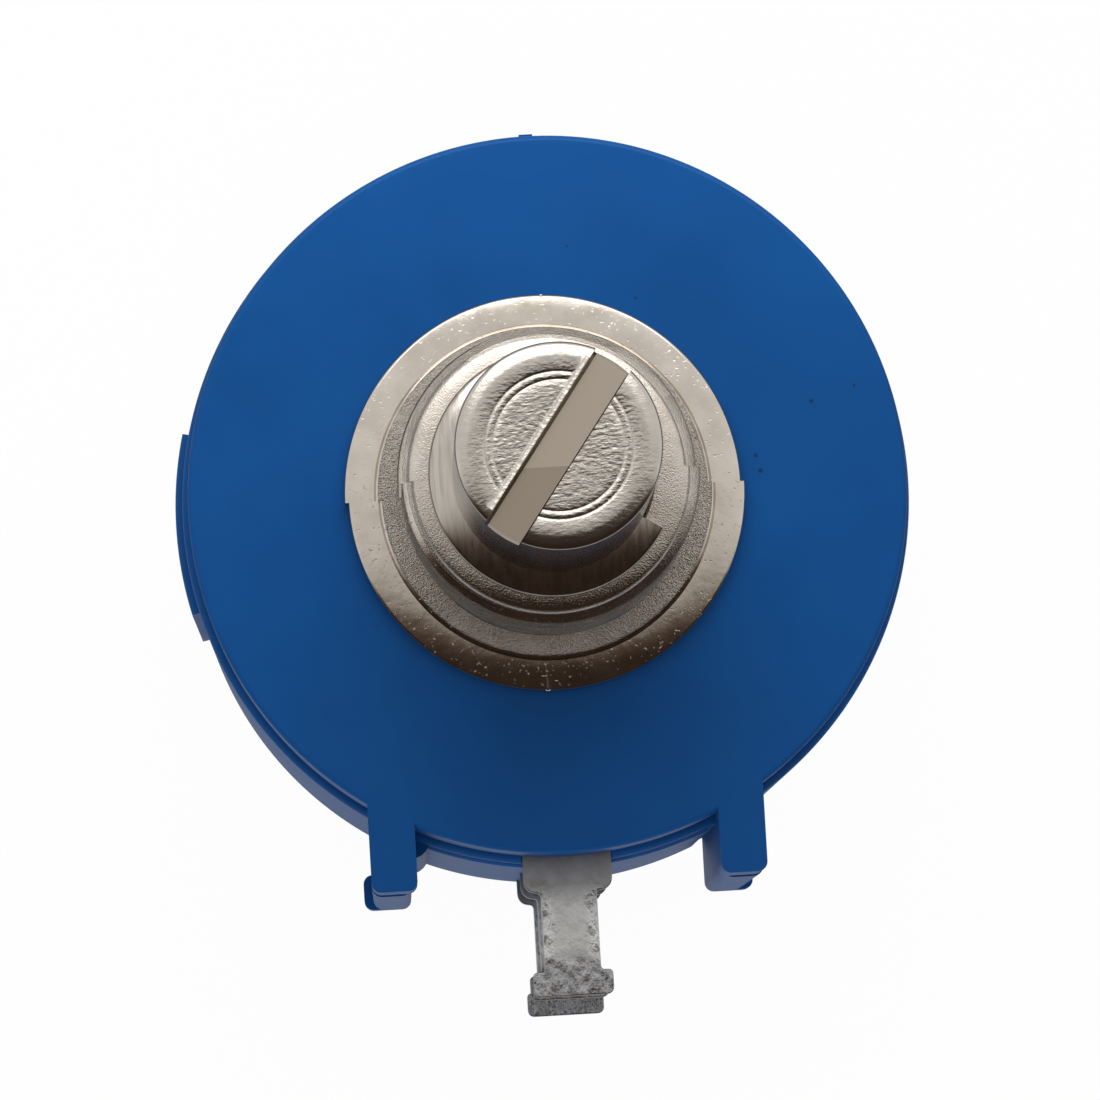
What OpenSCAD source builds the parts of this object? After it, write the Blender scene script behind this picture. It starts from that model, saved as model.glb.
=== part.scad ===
// Wirewound ten-turn potentiometer with a threaded panel bushing.
// The Z axis is the shaft axis. Z = 0 is the flange face that seats on the
// panel, the slotted shaft end is up, and the solder lugs point to -Y.

/* [Front cap] */
// Radial step from the housing in to the front cap
cap_step = 0.25; // [0.1:0.05:0.4]
// Depth of the cap from its front face to the seam
cap_depth = 3.4; // [3:0.1:4]
// Thickness of the cap's front wall
front_t = 1.7; // [1.5:0.05:2.1]
// Radius on the cap's front edge
edge_r = 0.3; // [0.1:0.05:0.5]
// Distance from the centre plane to the middle of a foot of the cap
cap_foot_x = 5.39; // [4.5:0.01:6.5]
// Width of a foot of the cap
cap_foot_w = 1.42; // [1:0.01:2]
// Drop of the cap's feet below its round wall
cap_foot_drop = 0.9; // [0.6:0.05:2]

/* [Housing] */
// Outside diameter of the housing behind the cap
body_d = 22.7; // [22.2:0.1:28]
// Depth of the body behind the panel seat
body_depth = 21.5; // [21.3:0.05:26]
// Thickness of the round wall
wall_t = 1.8; // [1.6:0.05:2.2]
// Chamfer on both edges of the seam
seam_chamfer = 0.15; // [0.05:0.01:0.2]
// Chamfer on the rear rim
rim_chamfer = 0.2; // [0.1:0.05:0.4]
// Thickness of the tongue that the cap sits on
tongue_t = 0.55; // [0.5:0.05:0.6]
// Height of the tongue above the seam
tongue_h = 0.8; // [0.5:0.05:0.9]

/* [Feet and latch] */
// Distance from the centre plane to the middle of a foot of the housing
foot_x = 5.62; // [4.5:0.01:6.5]
// Width of a foot of the housing
foot_w = 1.55; // [1:0.01:2]
// Drop of the housing's feet below its round wall
foot_drop = 0.7; // [0.5:0.05:2]
// Radius on the corners of every foot
foot_r = 0.3; // [0.1:0.05:0.5]
// Height of the toe at a foot's end
toe_h = 1.15; // [0.6:0.05:1.4]
// Reach of the toe beyond the outer side of its foot
toe_step = 0.14; // [0.05:0.01:0.2]
// Radius of the bead at the root of the left foot
bead_r = 0.65; // [0.4:0.05:0.8]
// Height of the terminal pad between the feet above the round wall
pad_h = 0.1; // [0.05:0.05:0.4]
// Height of the latch boss above the round wall
boss_h = 0.25; // [0.15:0.05:0.6]
// Angle that the latch boss takes up round the body
boss_angle = 28.5; // [20:0.5:34]
// Length of the latch boss along the body
boss_len = 15.6; // [4:0.1:16]

/* [Bushing] */
// Outside diameter of the threaded sleeve
thread_d = 9.0; // [8:0.05:11]
// Height of the sleeve above the panel seat
bushing_h = 7.93; // [5:0.01:12]
// Diameter of the flange that seats on the panel
flange_d = 12.3; // [11.4:0.1:15]
// Height of the flange above the housing's front face
flange_h = 0.6; // [0.3:0.05:1]
// Diameter of the pilot boss at the foot of the thread
pilot_d = 10.16; // [9.6:0.02:11.2]
// Height of the pilot boss
pilot_h = 0.5; // [0.3:0.05:1.5]
// Chamfer on the thread's end
thread_chamfer = 0.3; // [0.1:0.05:0.5]
// Radius of the rolled edge at the sleeve's mouth
mouth_r = 0.38; // [0.2:0.02:0.5]
// Diameter of the collar moulded into the front wall
collar_d = 11.2; // [10:0.1:12]

/* [Shaft] */
// Diameter of the shaft
shaft_d = 6.0; // [5:0.05:7.3]
// Height of the shaft's end above the panel seat
shaft_h = 19.0; // [14:0.01:30]
// Chamfer on the shaft's end
shaft_chamfer = 0.22; // [0.1:0.02:0.5]
// Width of the screwdriver slot
slot_w = 1.19; // [0.8:0.01:1.6]
// Depth of the screwdriver slot
slot_depth = 1.57; // [1:0.01:2.5]
// Direction of the slot at rest
slot_angle = 54.4; // [0:0.1:179]
// Diameter of the shaft inside the rotor
core_d = 4.0; // [3.4:0.1:4.4]
// Distance across the two flats inside the rotor
core_flats = 3.2; // [2.8:0.1:3.8]
// Diameter of the rear pivot
pivot_d = 2.4; // [1.6:0.1:2.8]
// Depth of the clip groove below the shaft's surface
clip_groove = 0.38; // [0.2:0.02:0.6]
// Thickness of the retaining clip
clip_t = 0.6; // [0.4:0.05:0.9]
// Width of the clip's band
clip_w = 1.1; // [0.8:0.05:1.3]
// Opening of the clip
clip_gap_angle = 67; // [30:1:100]
// Direction of the clip's opening at rest
clip_gap_at = 3.4; // [-180:0.1:180]

/* [Element] */
// Number of turns that the shaft makes between its stops
turns = 10; // [8:1:10]
// Over-travel beyond the last turn
over_travel = 10; // [0:1:15]
// Advance of the helix in one turn
pitch = 1.3; // [1.1:0.01:1.35]
// Diameter of the wound element
element_d = 0.64; // [0.5:0.02:0.66]
// Turn left free beyond the stops, at each end
tail_angle = 20; // [15:1:25]
// Turn of the shaft from rest to its clockwise stop
turn_back = 1854; // [1000:1:2600]

/* [Rotor and carriage] */
// Diameter of the rotor drum
rotor_d = 13.0; // [11:0.1:14]
// Width of the slot's mouth
slot_mouth = 3.2; // [2.6:0.1:3.6]
// Width of the slot's undercut
slot_wide = 4.5; // [4:0.1:4.8]
// Distance from the axis to the slot's floor
slot_floor = 3.1; // [2.8:0.05:3.2]
// Height of the undercut above the rail
undercut_h = 1.2; // [0.9:0.05:1.5]
// Thickness of the collector rail and the slip ring
rail_t = 0.2; // [0.1:0.02:0.3]
// Height of the carriage along the axis
carriage_h = 1.6; // [1.4:0.05:1.8]

/* [Lugs] */
// Thickness of a lug
lug_t = 0.45; // [0.3:0.01:0.6]
// Width of a lug's root
lug_root_w = 2.76; // [2:0.02:3.4]
// Width of a lug's neck
lug_neck_w = 1.76; // [1.2:0.02:2]
// Width of a lug's head
lug_head_w = 2.5; // [2:0.02:3]
// Length of a lug outside the housing
lug_out = 4.1; // [3:0.05:8]
// Extra length of the rear lug
lug_rear_extra = 0.42; // [0:0.02:1]
// Length of a lug's head
lug_head_h = 0.78; // [0.4:0.02:1.2]
// Distance from the panel seat to the middle lug
lug_middle_at = 11.2; // [9:0.05:13]

/* [Rear cover] */
// Thickness of the rear cover
cover_t = 1.7; // [1.4:0.05:2]
// Depth of the cover below the housing's rear rim
cover_recess = 0.3; // [0.1:0.05:0.5]
// Reach of a latch nose beyond the cover's edge
nose_reach = 0.8; // [0.4:0.05:0.9]
// Width of a latch nose
nose_w = 3.0; // [2:0.1:3.4]
// Chamfer on the cover's rear edge
cover_chamfer = 0.2; // [0.1:0.05:0.4]

/* [Clearances] */
// Radial running clearance of the shaft in its bearings
run_gap = 0.03; // [0.02:0.01:0.06]
// Clearance round fixed pieces that are pushed together
seat_gap = 0.02; // [0.01:0.01:0.05]
// Clearance of a rubbing contact
touch_gap = 0.06; // [0.04:0.01:0.1]
// Clearance of the carriage in its slot and on the element
slide_gap = 0.11; // [0.08:0.01:0.14]

/* [Hidden] */
$fn = 96;
eps = 0.01;                            // overlap of cuts and of joined solids

// Front cap
body_r = body_d / 2;
cap_r = body_r - cap_step;
front_z = -flange_h;
floor_z = front_z - front_t;           // inner face of the front wall
seam_z = front_z - cap_depth;          // rear rim of the cap
cap_foot_reach = cap_r + cap_foot_drop;

// Housing
bore_r = body_r - wall_t;              // of the housing and of the cap
top_z = seam_z - seat_gap;             // front rim of the housing
tongue_r = bore_r + tongue_t;
tongue_z = seam_z + tongue_h;
rim_z = -body_depth;                   // rear rim, on which the part stands
cover_rear_z = rim_z + cover_recess;
cover_front_z = cover_rear_z + cover_t;
foot_reach = body_r + foot_drop;
foot_root = 0.8 * bore_r;              // where the feet begin, inside the wall
pad_half = foot_x - foot_w / 2 - 0.35;
boss_from = rim_z + 0.4;
nose_z = cover_rear_z + 0.45;          // rear side of a latch nose
nose_h = 0.8;

// Shaft
shaft_r = shaft_d / 2;
core_r = core_d / 2;
pivot_r = pivot_d / 2;
groove_r = shaft_r - clip_groove;
clip_z = bushing_h + touch_gap;
washer_t = 0.2;
washer_w = 1.55;
clip_room = 0.02;                      // in the groove, above and below the clip
rotor_front_z = floor_z - washer_t - 2 * touch_gap;
pivot_end_z = cover_rear_z + 0.75;

// Element: a right-hand helix, so turning the shaft back moves inwards
travel_angle = 360 * turns + over_travel;
element_r = element_d / 2;
element_gap = 0.08;                    // to the housing's bore
helix_r = bore_r - element_gap - element_r;
first_z = floor_z - carriage_h / 2 - 0.35;       // carriage at its front stop
turn_on = travel_angle - turn_back;              // from rest to that stop
carriage_z = first_z - pitch * turn_on / 360;    // carriage at rest
carriage_angle = -90 - turn_on - tail_angle;
start_angle = carriage_angle + turn_on + tail_angle;
end_angle = carriage_angle - turn_back - tail_angle;
end_angle_flat = start_angle - over_travel - 2 * tail_angle;  // the same, less whole turns
helix_steps = 24;                      // sections in one turn
helix_sides = 8;
function helix_z(a) = carriage_z + pitch * (a - carriage_angle) / 360;
start_z = helix_z(start_angle);
end_z = helix_z(end_angle);

// Rotor
rotor_r = rotor_d / 2;
ring_z = cover_front_z + 0.45;         // rear face of the slip ring
rotor_rear_z = ring_z + rail_t;
web_t = 0.45;
slot_end_z = rotor_rear_z + web_t;
rail_top = slot_floor + rail_t;
undercut_top = slot_floor + rail_t + undercut_h;
ring_in_r = 2.9;
ring_out_r = 5.2;

// Carriage, measured outwards from the axis
foot_from = rail_top + touch_gap + 0.09;
foot_to = undercut_top - slide_gap;
neck_to = helix_r - element_r - 0.8;
fork_floor = helix_r - element_r - 0.22;
fork_to = helix_r - 0.05;
fork_half = element_r + slide_gap;
fork_tip = pitch - element_r - slide_gap;
nose_half_w = 0.6;
chamber_from = foot_from + 0.45;
chamber_to = neck_to - 0.5;
chamber_half_w = 0.55;
chamber_half_h = 0.5;
stem_half_w = 0.22;
stem_half_h = 0.15;
plug_half = 0.25;

// Lugs
lug_front_z = top_z - lug_t / 2;       // its slot is open at the seam
lug_middle_z = -lug_middle_at;
lug_wiper_z = cover_front_z + lug_t / 2;
lug_in = bore_r + 0.32;                // inner end of the two element lugs
lug_tip = body_r + lug_out;
lug_waist = body_r + 0.85;             // outer end of the root
lug_slot = lug_t / 2 + seat_gap;       // half the height of a lug's slot
tap_t = 0.22;
tap_w = 1.0;
tap_r = bore_r + 0.08;                 // inner face of a tap in its pocket
pocket_r = lug_in + seat_gap;
brush_t = 0.12;
brush_root = 1.8;                      // length welded to the rear lug
brush_z = ring_z - touch_gap - brush_t;
wiper_in = rotor_r + 0.4;              // inner end of the rear lug

// A bar measured outwards from the axis in the direction of the carriage
module radial_bar(from, to, half_w, half_h) {
    translate([from, -half_w, -half_h])
        cube([to - from, 2 * half_w, 2 * half_h]);
}

module at_carriage() {
    rotate(carriage_angle)
        translate([0, 0, carriage_z])
            children();
}

module tube(r_out, r_in, z_low, z_high) {
    translate([0, 0, z_low])
        difference() {
            cylinder(r = r_out, h = z_high - z_low);
            translate([0, 0, -eps])
                cylinder(r = r_in, h = z_high - z_low + 2 * eps);
        }
}

// A part of a ring between two angles
module arc_bar(r_in, r_out, from, to, z_low, z_high) {
    rotate(from)
        rotate_extrude(angle = to - from)
            translate([r_in, z_low])
                square([r_out - r_in, z_high - z_low]);
}

function arc_points(x, y, r, from, to, n = 6) =
    [for (i = [0:n]) [x + r * cos(from + (to - from) * i / n),
                      y + r * sin(from + (to - from) * i / n)]];

// A foot's outline: a leg, and a toe that may reach further out
module foot_outline(side, width, reach, step) {
    half = width / 2;
    translate([-half + (side < 0 ? step : 0), foot_r - reach])
        square([width - step, reach - foot_r - foot_root]);
    translate([-half, foot_r - reach])
        square([width, toe_h - foot_r - toe_step]);
    translate([foot_r - half, -reach])
        square([width - 2 * foot_r, foot_r + eps]);
    for (s = [-1, 1])
        translate([s * (half - foot_r), foot_r - reach])
            circle(r = foot_r, $fn = 48);
    if (step > 0)
        translate([side * (half - step), toe_h - toe_step - reach])
            circle(r = step, $fn = 48);
}

/* ---- front cap ---- */

module cap_profile() {
    rebate_r = tongue_r + seat_gap;
    rebate_z = tongue_z + seat_gap;
    polygon(concat(
        [[0, floor_z], [bore_r, floor_z], [bore_r, rebate_z], [rebate_r, rebate_z],
         [rebate_r, seam_z], [cap_r - seam_chamfer, seam_z],
         [cap_r, seam_z + seam_chamfer]],
        arc_points(cap_r - edge_r, front_z - edge_r, edge_r, 0, 90),
        [[0, front_z]]));
}

module front_cap() {
    color("#1667ad")
    difference() {
        union() {
            rotate_extrude()
                cap_profile();
            for (side = [-1, 1])
                translate([side * cap_foot_x, 0, seam_z])
                    linear_extrude(cap_depth)
                        difference() {
                            foot_outline(side, cap_foot_w, cap_foot_reach, 0);
                            translate([-side * cap_foot_x, 0])
                                circle(r = tongue_r + seat_gap);
                        }
        }
        bushing_insert(seat_gap);
        start_tap_pocket();
    }
}

/* ---- housing ---- */

module wall_profile() {
    relief = 0.1;                      // chamfer on the tongue
    polygon([[bore_r, rim_z], [body_r - rim_chamfer, rim_z], [body_r, rim_z + rim_chamfer],
             [body_r, top_z - seam_chamfer], [body_r - seam_chamfer, top_z],
             [tongue_r, top_z], [tongue_r, tongue_z - relief],
             [tongue_r - relief, tongue_z], [bore_r, tongue_z]]);
}

module housing_feet() {
    inner_x = foot_x - foot_w / 2;
    translate([0, 0, rim_z])
        linear_extrude(top_z - rim_z)
            difference() {
                union() {
                    for (side = [-1, 1])
                        translate([side * foot_x, 0])
                            foot_outline(side, foot_w, foot_reach, toe_step);
                    translate([-inner_x, -sqrt(pow(body_r, 2) - pow(inner_x, 2))])
                        circle(r = bead_r, $fn = 48);
                }
                circle(r = bore_r + eps);
            }
}

// The raised pad that the lugs come out of, between the feet
module terminal_pad() {
    margin = 0.5;                      // to the rear rim and to the seam
    intersection() {
        tube(body_r + pad_h, body_r - wall_t / 2, rim_z + margin, top_z - margin);
        translate([-pad_half, -foot_reach - 1, rim_z])
            cube([2 * pad_half, foot_reach, body_depth]);
    }
}

module latch_boss() {
    arc_bar(body_r - wall_t / 2, body_r + boss_h, 180 - boss_angle / 2,
            180 + boss_angle / 2, boss_from, boss_from + boss_len);
}

module latch_pocket(side) {
    room = 0.1;                        // round the nose
    reach = bore_r + nose_reach + room;
    translate([side > 0 ? 0 : -reach, -nose_w / 2 - room, nose_z - room / 2])
        cube([reach, nose_w + 2 * room, nose_h + room]);
}

// A slot through the wall for a lug, from z_low to z_high
module lug_window(z_low, z_high) {
    half = lug_root_w / 2 + seat_gap;
    translate([-half, -body_r - 1, z_low])
        cube([2 * half, body_r + 1 - foot_root, z_high - z_low]);
}

module tap_pocket(z_low, z_high) {
    half = tap_w / 2 + 0.05;
    translate([-half, -pocket_r, z_low])
        cube([2 * half, pocket_r - bore_r + 1, z_high - z_low]);
}

// In the wall of the housing and of the cap
module start_tap_pocket() {
    tap_pocket(lug_front_z - lug_slot, start_z + 0.6);
}

module housing() {
    color("#1667ad")
    difference() {
        union() {
            rotate_extrude()
                wall_profile();
            housing_feet();
            latch_boss();
            terminal_pad();
        }
        for (side = [-1, 1])
            latch_pocket(side);
        lug_window(lug_front_z - lug_slot, seam_z);
        lug_window(lug_middle_z - lug_slot, lug_middle_z + lug_slot);
        lug_window(lug_wiper_z - lug_slot, lug_wiper_z + lug_slot);
        start_tap_pocket();
        tap_pocket(end_z - 0.2, lug_middle_z + lug_slot);
        arc_bar(bore_r - 1, pocket_r, end_angle_flat - 4, -86, end_z - 0.55, end_z + 0.25);
    }
}

/* ---- bushing ---- */

// The shank and collar that the front wall is moulded round
module bushing_insert(gap) {
    flat = collar_d / 2 - 0.5;
    intersection() {
        union() {
            translate([0, 0, floor_z - (gap > 0 ? eps : 0)])
                cylinder(r = collar_d / 2 + gap, h = 0.8 + gap + (gap > 0 ? eps : 0));
            translate([0, 0, floor_z])
                cylinder(r = thread_d / 2 + 0.15 + gap, h = front_t + eps);
        }
        translate([-flat - gap, -collar_d, floor_z - 1])
            cube([2 * (flat + gap), 2 * collar_d, front_t + 2]);
    }
}

module sleeve_profile() {
    thread_r = thread_d / 2;
    shoulder = thread_r - thread_chamfer;
    polygon(concat(
        [[0, front_z], [flange_d / 2 - 0.12, front_z], [flange_d / 2, front_z + 0.12],
         [flange_d / 2, -0.1], [flange_d / 2 - 0.1, 0],
         [pilot_d / 2, 0], [pilot_d / 2, pilot_h - 0.1], [pilot_d / 2 - 0.1, pilot_h],
         [thread_r, pilot_h],
         [thread_r, bushing_h - mouth_r - thread_chamfer]],
        arc_points(shoulder - mouth_r, bushing_h - mouth_r, mouth_r, 0, 90),
        [[0, bushing_h]]));
}

module bushing() {
    bore = shaft_r + run_gap;
    color("#b9b6ae")
    difference() {
        union() {
            rotate_extrude()
                sleeve_profile();
            bushing_insert(0);
        }
        translate([0, 0, floor_z - eps])
            cylinder(r = bore, h = bushing_h - floor_z + 2 * eps);
    }
}

/* ---- shaft and what turns with it ---- */

module flatted_core(gap) {
    half = core_flats / 2 + gap;
    intersection() {
        translate([0, 0, rotor_rear_z - eps])
            cylinder(r = core_r + gap, h = rotor_front_z - rotor_rear_z + 2 * eps);
        translate([-core_d, -half, rotor_rear_z - 1])
            cube([2 * core_d, 2 * half, rotor_front_z - rotor_rear_z + 2]);
    }
}

module shaft() {
    color("#c4c2bd")
    difference() {
        union() {
            translate([0, 0, rotor_front_z])
                rotate_extrude()
                    polygon([[0, 0], [shaft_r, 0],
                             [shaft_r, shaft_h - rotor_front_z - shaft_chamfer],
                             [shaft_r - shaft_chamfer, shaft_h - rotor_front_z],
                             [0, shaft_h - rotor_front_z]]);
            flatted_core(0);
            translate([0, 0, pivot_end_z])
                cylinder(r = pivot_r, h = rotor_rear_z - pivot_end_z + eps);
        }
        rotate(slot_angle)
            translate([-shaft_d, -slot_w / 2, shaft_h - slot_depth])
                cube([2 * shaft_d, slot_w, slot_depth + 1]);
        tube(shaft_d, groove_r, clip_z - clip_room, clip_z + clip_t + clip_room);
    }
}

module shaft_clip() {
    half_gap = clip_gap_angle / 2;
    color("#d2d0ca")
        arc_bar(groove_r + seat_gap, groove_r + clip_w, clip_gap_at + half_gap,
                clip_gap_at + 360 - half_gap, clip_z, clip_z + clip_t);
}

module thrust_washer() {
    color("#e8e4d8")
        tube(shaft_r + 0.04 + washer_w, shaft_r + 0.04,
             rotor_front_z + touch_gap, rotor_front_z + touch_gap + washer_t);
}

module rotor() {
    pockets = 3;
    color("#2b2b2e")
    difference() {
        translate([0, 0, rotor_rear_z])
            cylinder(r = rotor_r, h = rotor_front_z - rotor_rear_z);
        flatted_core(seat_gap);
        rotate(carriage_angle) {
            translate([slot_floor, -slot_wide / 2, slot_end_z])
                cube([undercut_top - slot_floor, slot_wide, 20]);
            translate([slot_floor, -slot_mouth / 2, slot_end_z])
                cube([rotor_r, slot_mouth, 20]);
            translate([slot_floor, -1 - seat_gap, rotor_rear_z - 1])
                cube([rail_t + seat_gap, 2 * (1 + seat_gap), 5]);
            for (i = [0:pockets - 1])
                arc_bar(core_r + 0.9, rotor_r - 0.8, 75 + i * 75, 75 + i * 75 + 60,
                        slot_end_z + 0.6, 1);
        }
    }
}

module collector_rail() {
    color("#c9a85a")
    rotate(carriage_angle)
        translate([slot_floor, -1, rotor_rear_z])
            cube([rail_t, 2, rotor_front_z - rotor_rear_z - 0.1]);
}

module slip_ring() {
    color("#c9a85a")
        tube(ring_out_r, ring_in_r, ring_z, rotor_rear_z);
}

/* ---- wiper carriage ---- */

module wiper_carriage() {
    half_h = carriage_h / 2;
    foot_half_w = slot_wide / 2 - slide_gap;
    neck_half_w = slot_mouth / 2 - slide_gap;
    color("#e9e2cf")
    at_carriage()
        difference() {
            union() {
                radial_bar(foot_from, foot_to, foot_half_w, half_h);
                radial_bar(foot_to - eps, neck_to, neck_half_w, half_h);
                radial_bar(neck_to - eps, fork_to, nose_half_w, fork_tip);
            }
            radial_bar(fork_floor, fork_to + 1, nose_half_w + 1, fork_half);
            radial_bar(foot_from - 1, chamber_from + eps, plug_half + 0.05, plug_half + 0.05);
            radial_bar(chamber_from, chamber_to, chamber_half_w, chamber_half_h);
            radial_bar(chamber_to - eps, fork_floor + 1, stem_half_w + 0.05, stem_half_h + 0.05);
        }
}

module wiper_contact() {
    head = 0.6;
    color("#d8b25c")
    at_carriage() {
        radial_bar(chamber_to - 0.1 - head, chamber_to - 0.1, chamber_half_w - 0.05,
                   chamber_half_h - 0.05);
        radial_bar(chamber_to - 0.1 - eps, helix_r - element_r - touch_gap - 0.08,
                   stem_half_w, stem_half_h);
    }
}

// A strip folded to and fro between the rail contact and the wiper contact
module wiper_spring() {
    from = chamber_from + 0.05;
    to = chamber_to - 0.7;
    folds = 7;
    step = (to - from) / folds;
    strip = 0.1;
    half = chamber_half_w - 0.1;
    color("#bcae86")
    at_carriage()
        translate([0, 0, -chamber_half_h + 0.1])
            linear_extrude(2 * chamber_half_h - 0.2)
                union() {
                    for (i = [0:folds])
                        translate([from + i * (to - from - strip) / folds, -half])
                            square([strip, 2 * half]);
                    for (i = [0:folds - 1])
                        translate([from + i * (to - from - strip) / folds,
                                   i % 2 == 0 ? half - strip : -half])
                            square([step, strip]);
                }
}

module rail_contact() {
    color("#d8b25c")
    at_carriage() {
        radial_bar(rail_top + touch_gap, foot_from, 0.8, carriage_h / 2 - 0.15);
        radial_bar(foot_from - eps, chamber_from + 0.05, plug_half, plug_half);
    }
}

/* ---- element, taps and lugs ---- */

// Corner j of the element's section at angle a along the helix
function helix_point(a, j) =
    let (t = 360 * (j + 0.5) / helix_sides, r = helix_r + element_r * cos(t))
    [r * cos(a), r * sin(a), helix_z(a) + element_r * sin(t)];

module resistance_helix() {
    span = start_angle - end_angle;
    n = ceil(span / 360 * helix_steps);
    m = helix_sides;
    rings = [for (i = [0:n]) for (j = [0:m - 1]) helix_point(end_angle + span * i / n, j)];
    skin = [for (i = [0:n - 1]) for (j = [0:m - 1])
            [i * m + j, i * m + (j + 1) % m, (i + 1) * m + (j + 1) % m, (i + 1) * m + j]];
    ends = [[for (j = [0:m - 1]) m - 1 - j], [for (j = [0:m - 1]) n * m + j]];
    color("#a9a49a")
        polyhedron(points = rings, faces = concat(skin, ends), convexity = 10);
}

module start_tap() {
    color("#d0cdc6")
    translate([-tap_w / 2, 0, 0]) {
        translate([0, -tap_r - tap_t, lug_front_z - lug_t / 2])
            cube([tap_w, tap_t, start_z + 0.52 - lug_front_z + lug_t / 2]);
        translate([0, -tap_r - eps, start_z + element_r + 0.05])
            cube([tap_w, tap_r - helix_r + element_r, 0.15]);
    }
}

module end_tap() {
    hook_z = end_z - element_r - 0.05;
    color("#d0cdc6") {
        translate([-tap_w / 2, -tap_r - tap_t, end_z - 0.1])
            cube([tap_w, tap_t, lug_middle_z + lug_t / 2 - end_z + 0.1]);
        arc_bar(tap_r, tap_r + tap_t, end_angle_flat - 3, -87, end_z - 0.5, end_z + 0.2);
        arc_bar(helix_r - element_r, tap_r + eps, end_angle_flat - 3,
                end_angle_flat + 3, hook_z - 0.13, hook_z);
    }
}

// The lug's outline from its inner end to its T-shaped head
module lug_outline(inner, tip) {
    root = lug_root_w / 2;
    neck = lug_neck_w / 2;
    head = lug_head_w / 2;
    root_r = 0.35;                     // on the root's outer corners
    small_r = 0.12;                    // in the neck's corners and on the head
    head_top = tip - lug_head_h;
    right = concat(
        [[root, -inner]],
        arc_points(root - root_r, root_r - lug_waist, root_r, 0, -90),
        arc_points(neck + small_r, -lug_waist - small_r, small_r, 90, 180),
        [[neck, -head_top]],
        arc_points(head - small_r, -head_top - small_r, small_r, 90, 0),
        arc_points(head - small_r, small_r - tip, small_r, 0, -90));
    left = [for (i = [len(right) - 1:-1:0]) [-right[i][0], right[i][1]]];
    polygon(concat(right, left));
}

module lug(z, inner, tip) {
    translate([0, 0, z - lug_t / 2])
        linear_extrude(lug_t)
            lug_outline(inner, tip);
}

module terminal_front() {
    color("#cfcac0")
        lug(lug_front_z, lug_in, lug_tip);
}

module terminal_middle() {
    color("#cfcac0")
        lug(lug_middle_z, lug_in, lug_tip);
}

module terminal_wiper() {
    color("#cfcac0")
    difference() {
        lug(lug_wiper_z, wiper_in, lug_tip + lug_rear_extra);
        translate([-lug_root_w, -wiper_in - brush_root, brush_z])
            cube([2 * lug_root_w, brush_root + 1, 1]);
    }
}

module rear_brush() {
    from = wiper_in + brush_root - 0.05;
    to = ring_in_r + 0.2;
    color("#d8b25c")
        translate([-0.6, -from, brush_z])
            cube([1.2, from - to, brush_t]);
}

/* ---- rear cover ---- */

module rear_cover() {
    cover_r = bore_r - seat_gap;
    nose_r = bore_r + nose_reach;
    mark_h = 0.25;                     // depth of the ring and of the gate's dimple
    gate_r = 1.4;
    color("#1667ad")
    difference() {
        union() {
            translate([0, 0, cover_rear_z])
                cylinder(r1 = cover_r - cover_chamfer, r2 = cover_r, h = cover_chamfer);
            translate([0, 0, cover_rear_z + cover_chamfer])
                cylinder(r = cover_r, h = cover_t - cover_chamfer);
            intersection() {
                translate([-nose_r, -nose_w / 2, nose_z])
                    cube([2 * nose_r, nose_w, nose_h]);
                tube(nose_r, bore_r - 1, nose_z - 1, nose_z + nose_h + 1);
            }
            translate([0, 0, cover_front_z - eps])
                cylinder(r = pivot_r + 1.0, h = 0.3);
        }
        translate([0, 0, pivot_end_z - 0.12])
            cylinder(r = pivot_r + run_gap, h = 5);
        tube(bore_r - 1.6, bore_r - 2.4, cover_rear_z - 1, cover_rear_z + mark_h);
        translate([0, 0, cover_rear_z - eps])
            cylinder(r = gate_r, h = mark_h + eps);
    }
}

front_cap();
housing();
bushing();
shaft();
shaft_clip();
thrust_washer();
rotor();
collector_rail();
slip_ring();
wiper_carriage();
wiper_contact();
wiper_spring();
rail_contact();
resistance_helix();
start_tap();
end_tap();
terminal_front();
terminal_middle();
terminal_wiper();
rear_brush();
rear_cover();
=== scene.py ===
# %% [markdown]
# # A ten-turn wirewound potentiometer
# This lesson dresses a finished CAD model of a small panel potentiometer. The CAD gives every
# piece its size and place. Here the pieces that show get their real edges, threads and finishes.
# The first cell loads the model. Lengths in the cells are in millimetres, and MM turns them
# into metres.

# %% Load the fixed CAD frame
from math import cos, hypot, pi, radians, sin

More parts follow.
